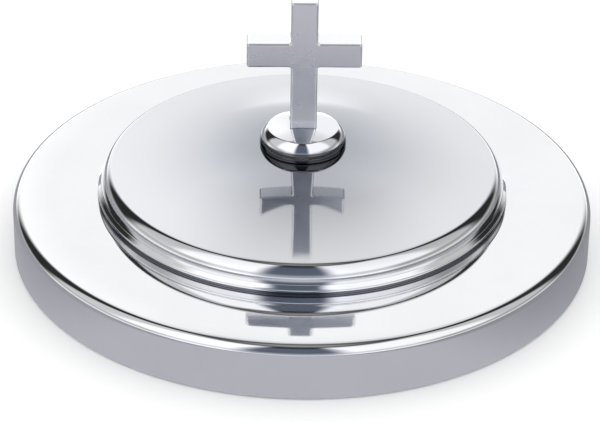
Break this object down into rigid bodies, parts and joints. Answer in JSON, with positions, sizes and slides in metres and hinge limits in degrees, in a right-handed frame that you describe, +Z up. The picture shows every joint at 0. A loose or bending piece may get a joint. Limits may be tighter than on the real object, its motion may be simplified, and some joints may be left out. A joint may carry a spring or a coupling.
{
  "type": "covered communion paten",
  "caption": "Round bread paten under a lift-off cover with a stepped, domed centre, a round knob and a standing cross, all in mirror-bright metal.",
  "frame": {"origin": "middle of the plate's flat foot ring, on the surface that it stands on", "axes": "+Z up along the axis of the plate and cover, +X along the cross's arms to the viewer's right, +Y away from the viewer"},
  "size_m": [0.314, 0.314, 0.1477],
  "materials": {
    "mirror_metal": "mirror polished stainless steel with faint spinning marks",
    "plate_metal": "bright polished stainless steel",
    "hardware_metal": "plain machined steel"
  },
  "bodies": {
    "paten": {"bread_plate": "plate_metal"},
    "cover": {"cover_shell": "mirror_metal", "knob": "mirror_metal", "cross": "mirror_metal", "cross_stud": "hardware_metal", "flat_washer": "hardware_metal", "lock_washer": "hardware_metal", "hex_nut": "hardware_metal"}
  },
  "joints": [
    {"name": "cover_lift", "type": "slide", "parent": "paten", "child": "cover", "axis": [0, 0, 1], "range_m": [0, 0.12]}
  ]
}
